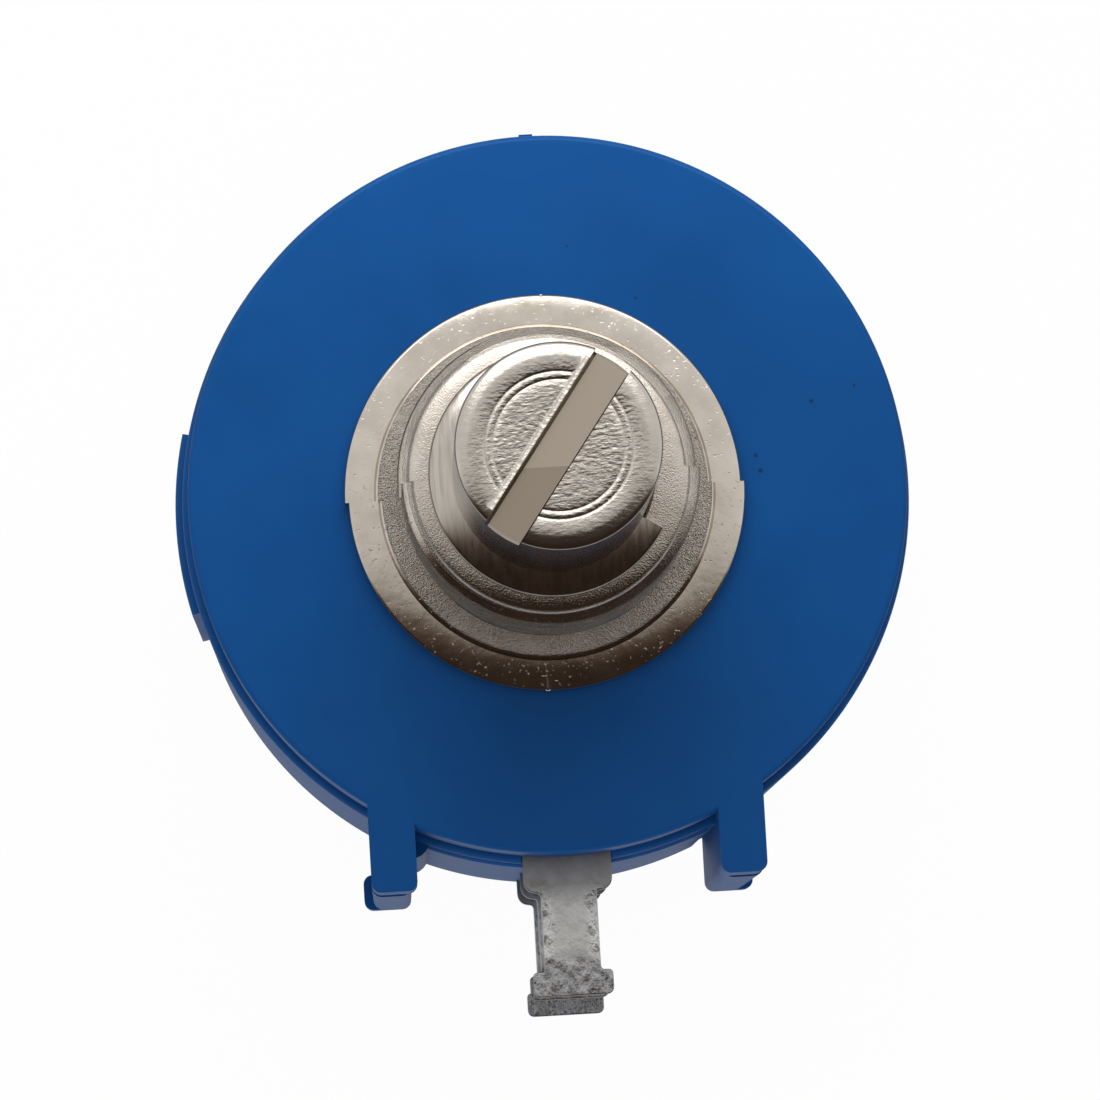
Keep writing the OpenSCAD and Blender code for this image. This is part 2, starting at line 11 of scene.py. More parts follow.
import bmesh
import bpy
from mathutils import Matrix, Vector


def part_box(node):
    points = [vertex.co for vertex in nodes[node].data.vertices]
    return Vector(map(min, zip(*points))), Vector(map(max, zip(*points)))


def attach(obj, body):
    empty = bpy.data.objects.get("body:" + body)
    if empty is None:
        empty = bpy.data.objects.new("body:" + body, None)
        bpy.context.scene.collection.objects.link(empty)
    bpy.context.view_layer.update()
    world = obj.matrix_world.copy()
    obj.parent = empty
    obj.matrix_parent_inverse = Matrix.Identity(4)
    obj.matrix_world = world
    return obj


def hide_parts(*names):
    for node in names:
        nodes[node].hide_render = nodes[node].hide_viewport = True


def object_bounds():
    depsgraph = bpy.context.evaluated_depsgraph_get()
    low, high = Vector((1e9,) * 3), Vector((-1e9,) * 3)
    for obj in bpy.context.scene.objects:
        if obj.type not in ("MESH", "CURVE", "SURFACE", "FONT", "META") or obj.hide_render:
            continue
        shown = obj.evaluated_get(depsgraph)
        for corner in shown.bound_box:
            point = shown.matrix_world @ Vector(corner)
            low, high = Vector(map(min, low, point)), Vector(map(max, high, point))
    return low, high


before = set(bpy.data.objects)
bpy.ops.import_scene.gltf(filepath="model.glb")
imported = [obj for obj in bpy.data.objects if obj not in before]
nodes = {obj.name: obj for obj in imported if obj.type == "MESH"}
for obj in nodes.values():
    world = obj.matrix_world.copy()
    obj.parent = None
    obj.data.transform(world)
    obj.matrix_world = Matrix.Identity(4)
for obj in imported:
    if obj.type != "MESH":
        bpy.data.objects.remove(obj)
cad_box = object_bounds()
MM = 0.001

# %% [markdown]
# ## Camera
# The part stands on its rear rim and is seen from above, almost straight down the shaft. A camera
# that isn't turned at all already looks down, so three small angles are enough to place it. A long
# lens from 27 cm away keeps the perspective flat, as a macro lens does.

# %% Camera over the shaft
LENS_LENGTH = 292.6
CAMERA_ANGLES = (3.67, -0.945, -3.3)
CAMERA_PLACE = (0.06, -1.79, 275)
camera_data = bpy.data.cameras.new("camera")
camera = bpy.data.objects.new("camera", camera_data)
bpy.context.scene.collection.objects.link(camera)
bpy.context.scene.camera = camera
camera_data.sensor_width = 36
camera_data.lens = LENS_LENGTH
camera_data.clip_start = 0.01
camera.rotation_euler = [radians(angle) for angle in CAMERA_ANGLES]
off_centre = Vector([distance * MM for distance in CAMERA_PLACE])
camera.location = camera.rotation_euler.to_matrix() @ off_centre
print("camera at", [round(c, 4) for c in camera.location])

# %% [markdown]
# ## Modelling helpers
# Nearly every piece here starts as an outline. A lathe turns an outline round the shaft's axis,
# and a press pushes it straight up. Both begin the same way: a small plane is merged into one
# point, and the outline is drawn by extruding that point from corner to corner.

# %% Draw an outline
def draw_outline(name, corners, closed=True):
    bpy.ops.object.select_all(action="DESELECT")
    bpy.ops.mesh.primitive_plane_add(size=MM)
    piece = bpy.context.object
    piece.name = piece.data.name = name
    bpy.ops.object.mode_set(mode="EDIT")
    bpy.ops.mesh.merge(type="CENTER")
    bpy.ops.transform.translate(value=Vector(corners[0]) * MM)
    ring = corners + corners[:1] if closed else corners
    for here, there in zip(ring, ring[1:]):
        step = (Vector(there) - Vector(here)) * MM
        bpy.ops.mesh.extrude_vertices_move(TRANSFORM_OT_translate={"value": step})
    bpy.ops.mesh.select_all(action="SELECT")
    bpy.ops.mesh.remove_doubles(threshold=0.001 * MM)
    return piece


def arc(x, y, radius, start, end, steps=5):
    angles = [radians(start + (end - start) * i / steps) for i in range(steps + 1)]
    return [(x + radius * cos(a), y + radius * sin(a)) for a in angles]


# %% Turn or press an outline
def close_up():
    bpy.ops.mesh.select_all(action="SELECT")
    bpy.ops.mesh.remove_doubles(threshold=0.002 * MM)
    bpy.ops.mesh.delete_loose()
    bpy.ops.mesh.select_all(action="SELECT")
    bpy.ops.mesh.fill_holes(sides=0)
    bpy.ops.mesh.select_all(action="SELECT")
    bpy.ops.mesh.normals_make_consistent(inside=False)
    bpy.ops.object.mode_set(mode="OBJECT")


def lathe(name, profile, sides=192, middle=0, turn=360):
    start = radians(middle - turn / 2)
    piece = draw_outline(name, [(r * cos(start), r * sin(start), z) for r, z in profile])
    bpy.ops.mesh.spin(steps=round(sides * turn / 360), angle=-radians(turn),
                      center=(0, 0, 0), axis=(0, 0, 1))
    close_up()
    return piece


def press(name, outline, low, high):
    piece = draw_outline(name, [(x, y, low) for x, y in outline])
    bpy.ops.mesh.edge_face_add()
    bpy.ops.mesh.extrude_region_move(
        TRANSFORM_OT_translate={"value": (0, 0, (high - low) * MM)})
    close_up()
    return piece


def block(name, low, high):
    outline = [(low[0], low[1]), (high[0], low[1]), (high[0], high[1]), (low[0], high[1])]
    return press(name, outline, low[2], high[2])


# %% [markdown]
# ## Joining, cutting and rounding
# Moulded and cast parts are one solid with many features, so the blanks are united and cut with
# Boolean modifiers, which are applied at once. Rounding picks edges by where their ends are, as
# one would pick them by eye, and bevels them in edit mode.

# %% Unite, cut and keep
def make_active(piece):
    bpy.ops.object.select_all(action="DESELECT")
    piece.select_set(True)
    bpy.context.view_layer.objects.active = piece


def combine(piece, tool, operation):
    change = piece.modifiers.new(operation, "BOOLEAN")
    change.operation = operation
    change.solver = "EXACT"
    change.object = tool
    make_active(piece)
    bpy.ops.object.modifier_apply(modifier=change.name)
    bpy.data.objects.remove(tool)


def join(pieces):
    bpy.ops.object.select_all(action="DESELECT")
    for piece in pieces:
        piece.select_set(True)
    bpy.context.view_layer.objects.active = pieces[0]
    bpy.ops.object.join()
    return pieces[0]


# %% Round the edges that a rule picks
def round_edges(piece, rule, width, segments=4):
    make_active(piece)
    bpy.ops.object.mode_set(mode="EDIT")
    bpy.ops.mesh.select_all(action="DESELECT")
    shape = bmesh.from_edit_mesh(piece.data)
    for edge in shape.edges:
        edge.select = all(rule(*(v.co / MM)) for v in edge.verts)
    bmesh.update_edit_mesh(piece.data)
    bpy.ops.mesh.bevel(offset=width * MM, segments=segments, affect="EDGES")
    bpy.ops.object.mode_set(mode="OBJECT")


def near(value, target):
    return abs(value - target) < 0.005


# %% [markdown]
# ## Node helpers
# A finish is a small tree of shader nodes. One helper starts a material, one adds a node and
# sets its sockets by name, and one adds the fine bumps that every finish here has.

# %% Helpers for finishes
def start_finish(name):
    finish = bpy.data.materials.new(name)
    finish.use_nodes = True
    tree = finish.node_tree
    return finish, tree, tree.nodes["Principled BSDF"]


def add_node(tree, kind, settings=None, **sockets):
    made = tree.nodes.new(kind)
    for setting, value in (settings or {}).items():
        setattr(made, setting, value)
    for socket, value in sockets.items():
        place = made.inputs[socket.replace("_", " ")]
        if isinstance(value, bpy.types.NodeSocket):
            tree.links.new(value, place)
        else:
            place.default_value = value
    return made


def calculate(tree, operation, *values):
    made = tree.nodes.new("ShaderNodeMath")
    made.operation = operation
    for socket, value in zip(made.inputs, values):
        if isinstance(value, bpy.types.NodeSocket):
            tree.links.new(value, socket)
        else:
            socket.default_value = value
    return made.outputs[0]


def where(tree):
    return add_node(tree, "ShaderNodeTexCoord").outputs["Object"]


def noise(tree, place, scale, detail=3.0):
    return add_node(tree, "ShaderNodeTexNoise", Vector=place, Scale=scale,
                    Detail=detail).outputs["Fac"]


def stretched(tree, place, stretch, turn=0.0):
    return add_node(tree, "ShaderNodeMapping", Vector=place, Scale=stretch,
                    Rotation=(0, 0, radians(turn))).outputs["Vector"]


def blend_colours(tree, factor, first, second, low=0.3, high=0.7):
    ramp = add_node(tree, "ShaderNodeValToRGB", Fac=factor)
    ramp.color_ramp.elements[0].position = low
    ramp.color_ramp.elements[0].color = (*first, 1)
    ramp.color_ramp.elements[1].position = high
    ramp.color_ramp.elements[1].color = (*second, 1)
    return ramp.outputs["Color"]


def mix_colours(tree, factor, first, second):
    mix = add_node(tree, "ShaderNodeMix", {"data_type": "RGBA"})
    tree.links.new(factor, mix.inputs[0])
    for socket, colour in ((mix.inputs[6], first), (mix.inputs[7], second)):
        if isinstance(colour, bpy.types.NodeSocket):
            tree.links.new(colour, socket)
        else:
            socket.default_value = (*colour, 1)
    return mix.outputs[2]


def light_ray(tree, kind):
    return add_node(tree, "ShaderNodeLightPath").outputs[kind]


def between(tree, factor, low, high, start=0.0, end=1.0):
    return add_node(tree, "ShaderNodeMapRange", Value=factor, From_Min=start, From_Max=end,
                    To_Min=low, To_Max=high).outputs["Result"]


def bumps(tree, shader, height, strength, depth):
    bump = add_node(tree, "ShaderNodeBump", Height=height, Strength=strength, Distance=depth)
    before = shader.inputs["Normal"]
    if before.is_linked:
        tree.links.new(before.links[0].from_socket, bump.inputs["Normal"])
    tree.links.new(bump.outputs["Normal"], before)


def wear(piece, finish):
    piece.data.materials.clear()
    piece.data.materials.append(finish)


def count_open_edges(piece):
    shape = bmesh.new()
    shape.from_mesh(piece.data)
    open_edges = sum(len(edge.link_faces) != 2 for edge in shape.edges)
    shape.free()
    return open_edges


def extent(piece):
    points = [vertex.co / MM for vertex in piece.data.vertices]
    return [[round(pick(point[axis] for point in points), 2) for axis in range(3)]
            for pick in (min, max)]


def stand_for(piece, node, body, finish, angle=32):
    make_active(piece)
    bpy.ops.object.shade_smooth_by_angle(angle=radians(angle))
    weigh = piece.modifiers.new("flat_walls", "WEIGHTED_NORMAL")
    weigh.keep_sharp = True
    bpy.ops.object.modifier_apply(modifier=weigh.name)
    wear(piece, finish)
    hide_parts(node)
    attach(piece, body)
    cad_corners = [[round(v / MM, 2) for v in corner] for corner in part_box(node)]
    print(piece.name, len(piece.data.polygons), "faces,", count_open_edges(piece), "open edges")
    print("  CAD box", cad_corners, "new box", extent(piece))


# %% [markdown]
# ## Blue moulded plastic
# The cap, the housing and the rear cover are a satin thermoplastic. Its colour is nearly even,
# but the skin isn't perfect: it has a very fine grain from the mould, slow shifts in gloss, and a
# few dark specks in its front. The specks are placed by distance.

# %% Finish: blue plastic
FRONT = -0.6
SPECK_COLOUR = (0.006, 0.014, 0.028)


def blue_plastic(name, specks=()):
    finish, tree, shader = start_finish(name)
    place = where(tree)
    clouds = noise(tree, place, 230.0, 4.0)
    colour = blend_colours(tree, clouds, (0.0010, 0.060, 0.226), (0.0015, 0.071, 0.258))
    for x, y, size in specks:
        away = add_node(tree, "ShaderNodeVectorMath", {"operation": "DISTANCE"})
        tree.links.new(place, away.inputs[0])
        away.inputs[1].default_value = (x * MM, y * MM, FRONT * MM)
        edge = noise(tree, place, 9000.0)
        reach = calculate(tree, "ADD", away.outputs["Value"],
                          calculate(tree, "MULTIPLY", edge, 0.5 * size * MM))
        inside = between(tree, reach, 0.75, 0.0, 0.6 * size * MM, 1.1 * size * MM)
        colour = mix_colours(tree, inside, colour, SPECK_COLOUR)
    tree.links.new(colour, shader.inputs["Base Color"])
    tree.links.new(between(tree, clouds, 0.40, 0.52), shader.inputs["Roughness"])
    bumps(tree, shader, noise(tree, place, 9000.0, 2.0), 0.10, 0.00002)
    bumps(tree, shader, noise(tree, place, 700.0, 2.0), 0.06, 0.0001)
    shader.inputs["Specular IOR Level"].default_value = 0.16
    return finish


plain_blue = blue_plastic("blue_plastic")
front_blue = blue_plastic("blue_plastic_front", [
    (1.025, 7.598, 0.06), (3.056, 5.876, 0.07), (8.289, 2.394, 0.10), (9.63, 2.80, 0.07),
    (6.469, 0.800, 0.10), (6.596, 0.330, 0.12)])

# %% [markdown]
# ## Front cap
# The cap is a shallow moulded cup with the metal bushing moulded into its front wall. Its rim
# sits over a tongue on the housing, and the rounding on both edges makes the dark seam line. A
# turned ring is the natural start. The two feet are bars with rounded edges that start inside
# the wall, so uniting them leaves no line on the front face.

# %% Sizes that several pieces share
SEAM = -4.0
HOUSING_TOP = -4.02
REAR = -21.5
CAP_R = 11.1
BODY_R = 11.35
BORE_R = 9.55
TONGUE_R = 10.1
COLLAR_REAR = -2.3
COLLAR_R = 5.7


# %% Foot outline
def foot_outline(middle, width, root, reach, corner=0.3):
    half = width / 2
    corners = ([(-half, root)] + arc(corner - half, corner - reach, corner, 180, 270)
               + arc(half - corner, corner - reach, corner, 270, 360) + [(half, root)])
    return [(middle + x, y) for x, y in corners]


# %% Cap ring
cap = lathe("front_cap_moulding", [
    (4.75, FRONT), (4.75, -1.46), (COLLAR_R, -1.46), (COLLAR_R, COLLAR_REAR),
    (BORE_R, COLLAR_REAR),
    (BORE_R, -3.18), (10.12, -3.18), (10.12, SEAM), (CAP_R - 0.15, SEAM)]
    + arc(CAP_R - 0.06, SEAM + 0.15, 0.06, 300, 360, 3)
    + arc(CAP_R - 0.18, FRONT - 0.18, 0.18, 0, 90, 6), 256)

# %% Cap feet
CAP_FOOT_MIDDLE = 5.39
CAP_FOOT_WIDTH = 1.42
CAP_FOOT_ROOT = -9.1
CAP_FOOT_REACH = 12.0
cap_feet = []
for side in (-1, 1):
    outline = foot_outline(side * CAP_FOOT_MIDDLE, CAP_FOOT_WIDTH, CAP_FOOT_ROOT, CAP_FOOT_REACH)
    foot = press("cap_foot", outline, SEAM, FRONT)
    round_edges(foot, lambda x, y, z: near(z, FRONT), 0.22)
    round_edges(foot, lambda x, y, z: near(z, SEAM), 0.1, 2)
    cap_feet.append(foot)
gate_mark = block("gate_mark", (-0.25, 10.8, -2.2), (0.17, 11.2, -1.2))
combine(cap, join(cap_feet + [gate_mark]), "UNION")
stand_for(cap, "front_cap", "case", front_blue)

# %% [markdown]
# ## Housing
# The housing is a deep moulded tube, a little wider than the cap. Its own feet run to the rear,
# each with a short toe at its rear end that is a little wider. Between them a low pad carries the
# slots for the lugs, a round bead stiffens the root of the left foot, and a flat boss on the left
# covers the latch of the rear cover. Each is a pressed or turned bar, united with the ring in
# turn.

# %% Housing ring and feet
housing = lathe("housing_moulding", [(BORE_R, REAR)]
                + arc(BODY_R - 0.2, REAR + 0.2, 0.2, 270, 360, 3)
                + arc(BODY_R - 0.22, HOUSING_TOP - 0.22, 0.22, 0, 90, 5)
                + [(TONGUE_R, HOUSING_TOP), (TONGUE_R, -3.3), (10.0, -3.2), (BORE_R, -3.2)], 256)
HOUSING_FOOT_MIDDLE = 5.48
HOUSING_FOOT_WIDTH = 1.24
HOUSING_FOOT_ROOT = -8.9
HOUSING_FOOT_REACH = 12.05
TOE_MIDDLE = 5.63
TOE_TOP = REAR + 1.5
TOE_CORNER = 0.3
TOE_INNER = 0.47
TOE_LOW, TOE_HIGH = -11.75, -11.2
housing_feet = []
for side in (-1, 1):
    outline = foot_outline(side * HOUSING_FOOT_MIDDLE, HOUSING_FOOT_WIDTH,
                           HOUSING_FOOT_ROOT, HOUSING_FOOT_REACH)
    foot = press("housing_foot", outline, REAR + 0.02, HOUSING_TOP)
    round_edges(foot, lambda x, y, z: near(z, HOUSING_TOP), 0.12, 3)
    toe_outline = [(side * TOE_MIDDLE + x, y) for x, y in (
        arc(TOE_INNER, TOE_LOW, TOE_CORNER, 270, 360)
        + arc(TOE_INNER, TOE_HIGH, TOE_CORNER, 0, 90)
        + arc(-TOE_INNER, TOE_HIGH, TOE_CORNER, 90, 180)
        + arc(-TOE_INNER, TOE_LOW, TOE_CORNER, 180, 270))]
    toe = press("toe", toe_outline, REAR + 0.01, TOE_TOP)
    round_edges(toe, lambda x, y, z: near(z, TOE_TOP), 0.1, 2)
    combine(foot, toe, "UNION")
    housing_feet.append(foot)
boss = lathe("latch_boss", [(10.5, -21.1)] + arc(11.48, -20.98, 0.12, 270, 360, 3)
             + arc(11.4, -5.7, 0.2, 0, 90, 4) + [(10.5, -5.5)], 256, 180, 28.5)
round_edges(boss, lambda x, y, z: hypot(x, y) > 11.55 and abs(y) > 2.8, 0.12, 3)
combine(housing, join(housing_feet + [boss]), "UNION")

# %% Bead and terminal pad
BEAD_X, BEAD_Y, BEAD_R = -4.845, -10.26, 0.65
bead = press("bead", arc(BEAD_X, BEAD_Y, BEAD_R, 0, 345, 23), REAR + 0.1, -4.3)
combine(housing, bead, "UNION")
pad = lathe("pad", [(10.6, REAR + 0.5), (11.37, REAR + 0.5), (11.45, REAR + 0.6),
                    (11.45, -4.62), (11.37, -4.52), (10.6, -4.52)], 256, 270, 46)
combine(housing, pad, "UNION")

# %% Slots for the lugs and the latch
LUG_SLOT_HALF = 1.4
cuts = [block("lug_slot", (-LUG_SLOT_HALF, -13, low), (LUG_SLOT_HALF, -7.6, high))
        for low, high in ((-4.49, -3.99), (-11.445, -10.955), (-19.52, -19.03))]
cuts.append(block("latch_slot", (-10.45, -1.6, -20.8), (10.45, 1.6, -19.9)))
combine(housing, join(cuts), "DIFFERENCE")
stand_for(housing, "housing", "case", plain_blue)

# %% [markdown]
# ## Rear cover
# The cover is a round plate pressed into the rear of the housing, with a latch nose on each side,
# a bearing for the shaft's pivot, and a moulded ring and a gate dimple on its rear face.

# %% Rear cover
COVER_REAR = REAR + 0.3
COVER_FRONT = COVER_REAR + 1.7
cover = lathe("rear_cover_moulding", [
    (0, COVER_REAR + 0.25)] + arc(1.3, COVER_REAR + 0.35, 0.1, 270, 350, 2)
    + [(1.42, COVER_REAR + 0.05), (1.5, COVER_REAR), (7.1, COVER_REAR),
       (7.18, COVER_REAR + 0.25), (7.92, COVER_REAR + 0.25), (8.0, COVER_REAR),
       (9.33, COVER_REAR), (9.45, COVER_REAR + 0.05), (9.53, COVER_REAR + 0.2),
       (9.53, COVER_FRONT), (2.2, COVER_FRONT), (2.2, COVER_FRONT + 0.29),
       (1.23, COVER_FRONT + 0.29), (1.23, -20.57), (0, -20.57)], 160)
noses = [block("nose", (-10.33, -1.5, -20.75), (-9.3, 1.5, -19.95)),
         block("nose", (9.3, -1.5, -20.75), (10.33, 1.5, -19.95))]
combine(cover, join(noses), "UNION")
stand_for(cover, "rear_cover", "case", plain_blue)

# %% [markdown]
# ## Nickel-plated casting
# The bushing is a die casting with a thin nickel skin. The pilot, just above the flange, keeps
# the sandy grain of the die. The thread has next to none and the rolled mouth a little, and the
# flange only has fine pits, so the grain is switched on and off by height. Nickel is slightly
# yellow beside chrome, and the skin has faint stains.

# %% Finish: nickel casting
SAND_STARTS = (0.05 * MM, 0.3 * MM)
SAND_ENDS = (0.8 * MM, 0.95 * MM)
MOUTH_SAND = (7.1 * MM, 7.3 * MM)
SAND_SCALE = 21000.0


def nickel_casting():
    finish, tree, shader = start_finish("nickel_casting")
    place = where(tree)
    stains = noise(tree, place, 900.0, 5.0)
    tree.links.new(blend_colours(tree, stains, (0.56, 0.50, 0.43), (0.68, 0.62, 0.55)),
                   shader.inputs["Base Color"])
    height = add_node(tree, "ShaderNodeSeparateXYZ", Vector=place).outputs["Z"]
    sandy = calculate(tree, "SUBTRACT", between(tree, height, 0.0, 1.0, *SAND_STARTS),
                      between(tree, height, 0.0, 0.95, *SAND_ENDS))
    sandy = calculate(tree, "ADD", sandy, between(tree, height, 0.0, 0.12, *MOUTH_SAND))
    matt = calculate(tree, "ADD", calculate(tree, "MULTIPLY", sandy, 0.35),
                     calculate(tree, "MULTIPLY", stains, 0.35))
    tree.links.new(between(tree, matt, 0.10, 0.30), shader.inputs["Roughness"])
    grain = noise(tree, place, SAND_SCALE, 3.0)
    bumps(tree, shader, calculate(tree, "MULTIPLY", grain, sandy), 1.0, 0.00009)
    pits = between(tree, noise(tree, place, 9000.0, 2.0), 1.0, 0.0, 0.66, 0.74)
    bumps(tree, shader, pits, 0.25, 0.00002)
    bumps(tree, shader, noise(tree, place, 2200.0, 3.0), 0.10, 0.00005)
    shader.inputs["Metallic"].default_value = 1
    return finish


nickel = nickel_casting()

# %% [markdown]
# ## Bushing
# The bushing has a flange, a pilot boss, an M9 thread with 0.75 mm pitch, and a rolled mouth. A
# real thread is worth its faces, because it shows from every side. The Screw modifier makes it:
# a zigzag line turns once round the axis and climbs one pitch, so its start meets its end and
# becomes an endless thread. Two bisects cut it to length. The casting was made in two half
# dies that don't quite meet, so it is bisected, each half is shifted a little and bored to the
# shaft's axis, and the two closed halves meet at the parting plane.

# %% Thread
PITCH = 0.75
THREAD_ROOT = 4.06
THREAD_FLANK = 4.42
THREAD_CREST = 4.48
MOUTH_TOP = 7.93
zigzag = []
for turn in range(-2, 13):
    root_z = turn * PITCH
    zigzag += [(THREAD_ROOT, root_z), (THREAD_ROOT, root_z + 0.10),
               (THREAD_FLANK, root_z + 0.34), (THREAD_CREST, root_z + 0.42),
               (THREAD_FLANK, root_z + 0.50)]
thread = draw_outline("bushing_casting", [(r, 0, z) for r, z in zigzag], closed=False)
bpy.ops.object.mode_set(mode="OBJECT")
screw = thread.modifiers.new("screw", "SCREW")
screw.screw_offset = PITCH * MM
screw.steps = screw.render_steps = 144
screw.use_merge_vertices = True
screw.merge_threshold = 0.001 * MM
make_active(thread)
bpy.ops.object.modifier_apply(modifier="screw")
bpy.ops.object.mode_set(mode="EDIT")
for height, side in ((0.3, -1), (8.0, 1)):
    bpy.ops.mesh.select_all(action="SELECT")
    bpy.ops.mesh.bisect(plane_co=(0, 0, height * MM), plane_no=(0, 0, side), use_fill=True,
                        clear_outer=True, threshold=1e-8)
close_up()
print("thread", len(thread.data.polygons), "faces")

# %% Blank with the chamfer and the rolled mouth
blank = lathe("blank", [(0, 0.2), (4.7, 0.2), (4.7, 7.05), (4.2, 7.52)]
              + arc(3.92, 7.55, 0.28, 0, 65, 7)
              + [(3.75, 7.885), (3.3, MOUTH_TOP), (0, MOUTH_TOP)], 160)
combine(thread, blank, "INTERSECT")

# %% Flange, pilot and moulded-in collar
base = lathe("base", [(0, COLLAR_REAR), (5.6, COLLAR_REAR), (5.6, -1.5), (4.65, -1.5),
                      (4.65, FRONT),
                      (6.0, FRONT)]
             + arc(6.02, -0.47, 0.1, 300, 360, 3) + arc(5.99, -0.20, 0.13, 0, 78, 5)
             + [(5.2, -0.01), (5.13, -0.05), (5.08, -0.03)]
             + arc(5.0, 0.42, 0.08, 0, 90, 3) + [(0, 0.5)], 192)
combine(thread, base, "UNION")
bushing = thread

# %% Bore, and three nicks in the flange's edge
BUSHING_BORE_R = 3.03
FLANGE_NICKS = ((0.13, 6.14, 0.11), (-0.35, -6.1, 0.1), (-4.92, 3.97, 0.13))


def bore_and_nicks():
    tools = [lathe("bore", [(0, -3), (BUSHING_BORE_R, -3), (BUSHING_BORE_R, 7.86),
                            (3.12, 7.95), (3.12, 9), (0, 9)], 160)]
    for x, y, size in FLANGE_NICKS:
        bpy.ops.object.select_all(action="DESELECT")
        bpy.ops.mesh.primitive_ico_sphere_add(subdivisions=2, radius=size * MM,
                                              location=(x * MM, y * MM, -0.08 * MM))
        bpy.ops.object.transform_apply(location=True, rotation=True, scale=True)
        tools.append(bpy.context.object)
    return join(tools)


# %% Two half castings that meet at the parting plane
PARTING = 0.007
UPPER_SHIFT, LOWER_SHIFT = -0.16, -0.04
make_active(bushing)
bpy.ops.object.duplicate()
lower_half = bpy.context.object
for half, side, shift in ((bushing, 1, UPPER_SHIFT), (lower_half, -1, LOWER_SHIFT)):
    make_active(half)
    bpy.ops.object.mode_set(mode="EDIT")
    bpy.ops.mesh.select_all(action="SELECT")
    bpy.ops.mesh.bisect(plane_co=(0, PARTING * MM, 0), plane_no=(0, side, 0),
                        use_fill=True, clear_inner=True, threshold=1e-8)
    bpy.ops.mesh.select_all(action="SELECT")
    bpy.ops.transform.translate(value=(shift * MM, 0, 0))
    bpy.ops.object.mode_set(mode="OBJECT")
    combine(half, bore_and_nicks(), "DIFFERENCE")
bushing = join([bushing, lower_half])
stand_for(bushing, "bushing", "case", nickel, 28)

# %% [markdown]
# ## Turned shaft
# The shaft is turned from steel and plated. Its end was faced with a worn tool, which left fine
# torn streaks inside a round double groove, while its rim and its flank are smooth. The tears are
# bumps that only the end face has, so they fade in over the last part of the rounding, by height,
# and fade out towards the rim, by distance from the axis. The side is a little darker than the
# end. The slot's floor and walls get painted shade, browner, in two tones: a strip along one wall
# is darker still, a painted shadow.

# %% Finish: turned steel
END_FACE = (18.88 * MM, 18.93 * MM)
TEARS_FADE = (2.1 * MM, 2.5 * MM)
END_BAND = (18.6 * MM, 18.75 * MM)
# Where the slot's painted shade lies: its heights, its radius, and the edge of its darker painted
# shadow strip.
SLOT_BOTTOM = (17.2 * MM, 17.3 * MM)
SLOT_RIM = (2.9 * MM, 2.95 * MM)
SLOT_SHADOW_EDGE = (-0.55 * MM, -0.45 * MM)


def turned_steel():
    finish, tree, shader = start_finish("shaft_steel")
    place = where(tree)
    dirt = noise(tree, place, 1400.0, 5.0)
    split = add_node(tree, "ShaderNodeSeparateXYZ", Vector=place)
    face = between(tree, split.outputs["Z"], 0.0, 1.0, *END_FACE)
    radius = add_node(tree, "ShaderNodeVectorMath", {"operation": "LENGTH"},
                      Vector=stretched(tree, place, (1, 1, 0))).outputs["Value"]
    inside = between(tree, radius, 1.0, 0.35, *TEARS_FADE)
    coarse = noise(tree, stretched(tree, place, (0.6, 1, 0.2), -8), 8500.0, 4.0)
    fine = noise(tree, stretched(tree, place, (0.3, 1, 0.2), 4), 17000.0, 3.0)
    marks = calculate(tree, "ADD", coarse, calculate(tree, "MULTIPLY", fine, 0.5))
    marks = calculate(tree, "MULTIPLY", calculate(tree, "SUBTRACT", marks, 0.75), inside)
    bumps(tree, shader, calculate(tree, "MULTIPLY", marks, face), 0.6, 0.00005)
    bumps(tree, shader, noise(tree, place, 2000.0, 2.0), 0.01, 0.00002)
    upper = between(tree, split.outputs["Z"], 0.0, 1.0, *END_BAND)
    side_tone = blend_colours(tree, dirt, (0.42, 0.38, 0.335), (0.49, 0.45, 0.40))
    end_tone = blend_colours(tree, dirt, (0.53, 0.485, 0.43), (0.62, 0.575, 0.515))
    skin = mix_colours(tree, upper, side_tone, end_tone)
    # Painted shade in the screwdriver slot: its floor and walls are coloured browner, and a strip
    # along one wall is darker still, a painted shadow.
    above_floor = between(tree, split.outputs["Z"], 0.0, 1.0, *SLOT_BOTTOM)
    slot_shade_mask = calculate(tree, "MULTIPLY", between(tree, radius, 1.0, 0.0, *SLOT_RIM),
                        calculate(tree, "SUBTRACT", above_floor, upper))
    outside_painted_shadow = between(tree, split.outputs["Y"], 0.0, 1.0, *SLOT_SHADOW_EDGE)
    slot_painted_shade = blend_colours(tree, outside_painted_shadow, (0.40, 0.335, 0.27), (0.52, 0.45, 0.37))
    tree.links.new(mix_colours(tree, slot_shade_mask, skin, slot_painted_shade), shader.inputs["Base Color"])
    tree.links.new(between(tree, face, 0.16, 0.26), shader.inputs["Roughness"])
    shader.inputs["Metallic"].default_value = 1
    return finish


shaft_steel = turned_steel()

# %% [markdown]
# ## Shaft
# A lathe outline gives the shaft its flank, the groove for the clip, the rounded rim and the
# double groove of its end. Two blocks cut the flats that drive the rotor. A bar set at the rest
# angle cuts the screwdriver slot, after a thinner bar has left a burr along one lip.

